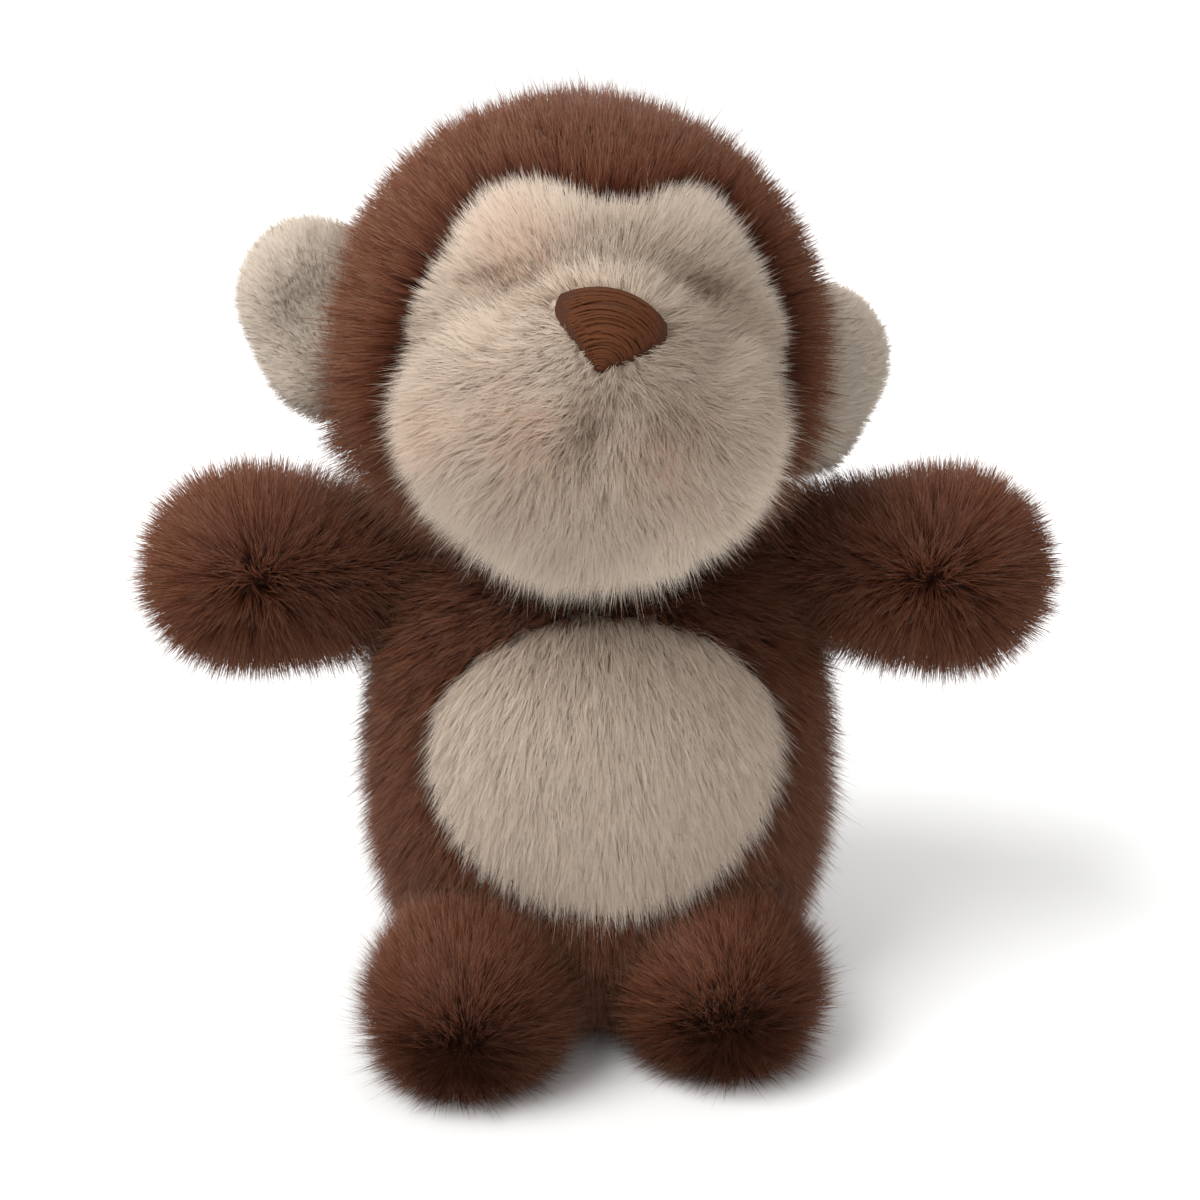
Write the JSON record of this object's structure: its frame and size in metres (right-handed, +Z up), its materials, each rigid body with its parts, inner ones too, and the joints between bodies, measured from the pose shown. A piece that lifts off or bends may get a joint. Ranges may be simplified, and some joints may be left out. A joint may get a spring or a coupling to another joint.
{
  "type": "stuffed monkey",
  "caption": "Seated long-pile plush monkey with cream face, muzzle, ears and belly, soft swinging arms, turning head and stubby feet.",
  "frame": {"origin": "middle of the flat seat that the toy sits on", "axes": "+Z up, the face looks along -Y, +X to the right as seen from in front"},
  "size_m": [0.1606, 0.1063, 0.166],
  "materials": {
    "brown_fur": "long soft chestnut pile",
    "cream_fur": "long soft cream pile",
    "ear_plush": "short velvety cream pile",
    "fibre_stuffing": "loose white polyester fibre",
    "pellet_cloth": "plain woven inner bag",
    "nose_thread": "satin-stitched rayon thread",
    "sewing_thread": "polyester sewing thread",
    "ribbon": "blank white woven ribbon",
    "backing_cloth": "knitted backing of the brown fur"
  },
  "bodies": {
    "torso": {"torso_front": "brown_fur", "belly_patch": "cream_fur", "torso_back_left": "brown_fur", "torso_back_right": "brown_fur", "torso_base": "brown_fur", "torso_stuffing": "fibre_stuffing", "pellet_bag": "pellet_cloth", "back_closing_stitches": "sewing_thread", "blank_label_tab": "ribbon"},
    "neck_outer": {"neck_seam_allowance": "backing_cloth"},
    "neck_inner": {"neck_gather_thread": "sewing_thread"},
    "head": {"head_side_left": "brown_fur", "head_side_right": "brown_fur", "face_mask": "cream_fur", "muzzle": "cream_fur", "muzzle_tuck_stitch": "sewing_thread", "nose_embroidery": "nose_thread", "head_stuffing": "fibre_stuffing", "muzzle_stuffing": "fibre_stuffing"},
    "ear_left": {"ear_left_front": "ear_plush", "ear_left_back": "ear_plush", "ear_left_wadding": "fibre_stuffing"},
    "arm_left_root": {"arm_left_root_gather": "backing_cloth"},
    "arm_left": {"arm_left_front": "brown_fur", "arm_left_back": "brown_fur", "arm_left_stuffing": "fibre_stuffing"},
    "leg_left_root": {"leg_left_root_gather": "backing_cloth"},
    "leg_left": {"leg_left_upper": "brown_fur", "leg_left_sole": "brown_fur", "leg_left_stuffing": "fibre_stuffing"},
    "ear_right": {"ear_right_front": "ear_plush", "ear_right_back": "ear_plush", "ear_right_wadding": "fibre_stuffing"},
    "arm_right_root": {"arm_right_root_gather": "backing_cloth"},
    "arm_right": {"arm_right_front": "brown_fur", "arm_right_back": "brown_fur", "arm_right_stuffing": "fibre_stuffing"},
    "leg_right_root": {"leg_right_root_gather": "backing_cloth"},
    "leg_right": {"leg_right_upper": "brown_fur", "leg_right_sole": "brown_fur", "leg_right_stuffing": "fibre_stuffing"}
  },
  "joints": [
    {"name": "head_turn", "type": "hinge", "parent": "torso", "child": "neck_outer", "pos_m": [0, 0, 0.086], "axis": [0, 0, 1], "range_deg": [-25, 25], "stiffness_Nm_per_rad": 0.5},
    {"name": "head_nod", "type": "hinge", "parent": "neck_outer", "child": "neck_inner", "pos_m": [0, 0, 0.086], "axis": [1, 0, 0], "range_deg": [-8, 16], "stiffness_Nm_per_rad": 0.5},
    {"name": "head_tilt", "type": "hinge", "parent": "neck_inner", "child": "head", "pos_m": [0, 0, 0.086], "axis": [0, -1, 0], "range_deg": [-4, 12], "stiffness_Nm_per_rad": 0.5},
    {"name": "ear_left_flop", "type": "hinge", "parent": "head", "child": "ear_left", "pos_m": [-0.04538, -0.00092, 0.13113], "axis": [0.0941, 0.3163, 0.944], "range_deg": [-20, 30], "stiffness_Nm_per_rad": 0.01},
    {"name": "ear_right_flop", "type": "hinge", "parent": "head", "child": "ear_right", "pos_m": [0.0375, 0.00394, 0.11806], "axis": [-0.0941, -0.3163, -0.944], "range_deg": [-10, 35], "stiffness_Nm_per_rad": 0.01},
    {"name": "arm_left_swing", "type": "hinge", "parent": "torso", "child": "arm_left_root", "pos_m": [-0.03405, 0, 0.0815], "axis": [0, 0, 1], "range_deg": [-20, 45], "stiffness_Nm_per_rad": 0.08},
    {"name": "arm_left_raise", "type": "hinge", "parent": "arm_left_root", "child": "arm_left", "pos_m": [-0.03405, 0, 0.0815], "axis": [0.1045, 0.9945, 0], "range_deg": [-26, 10], "stiffness_Nm_per_rad": 0.08},
    {"name": "arm_right_swing", "type": "hinge", "parent": "torso", "child": "arm_right_root", "pos_m": [0.03405, 0, 0.0815], "axis": [0, 0, -1], "range_deg": [-20, 45], "stiffness_Nm_per_rad": 0.08},
    {"name": "arm_right_raise", "type": "hinge", "parent": "arm_right_root", "child": "arm_right", "pos_m": [0.03405, 0, 0.0815], "axis": [-0.1045, -0.9945, 0], "range_deg": [-26, 10], "stiffness_Nm_per_rad": 0.08},
    {"name": "leg_left_spread", "type": "hinge", "parent": "torso", "child": "leg_left_root", "pos_m": [-0.02, -0.02903, 0.0135], "axis": [0, 0, -1], "range_deg": [-12, 12], "stiffness_Nm_per_rad": 0.08},
    {"name": "leg_left_lift", "type": "hinge", "parent": "leg_left_root", "child": "leg_left", "pos_m": [-0.02, -0.02903, 0.0135], "axis": [-0.9063, 0.4226, 0], "range_deg": [0, 20], "stiffness_Nm_per_rad": 0.08},
    {"name": "leg_right_spread", "type": "hinge", "parent": "torso", "child": "leg_right_root", "pos_m": [0.02, -0.02903, 0.0135], "axis": [0, 0, 1], "range_deg": [-3, 20], "stiffness_Nm_per_rad": 0.08},
    {"name": "leg_right_lift", "type": "hinge", "parent": "leg_right_root", "child": "leg_right", "pos_m": [0.02, -0.02903, 0.0135], "axis": [-0.9986, -0.0523, 0], "range_deg": [0, 13], "stiffness_Nm_per_rad": 0.08}
  ]
}
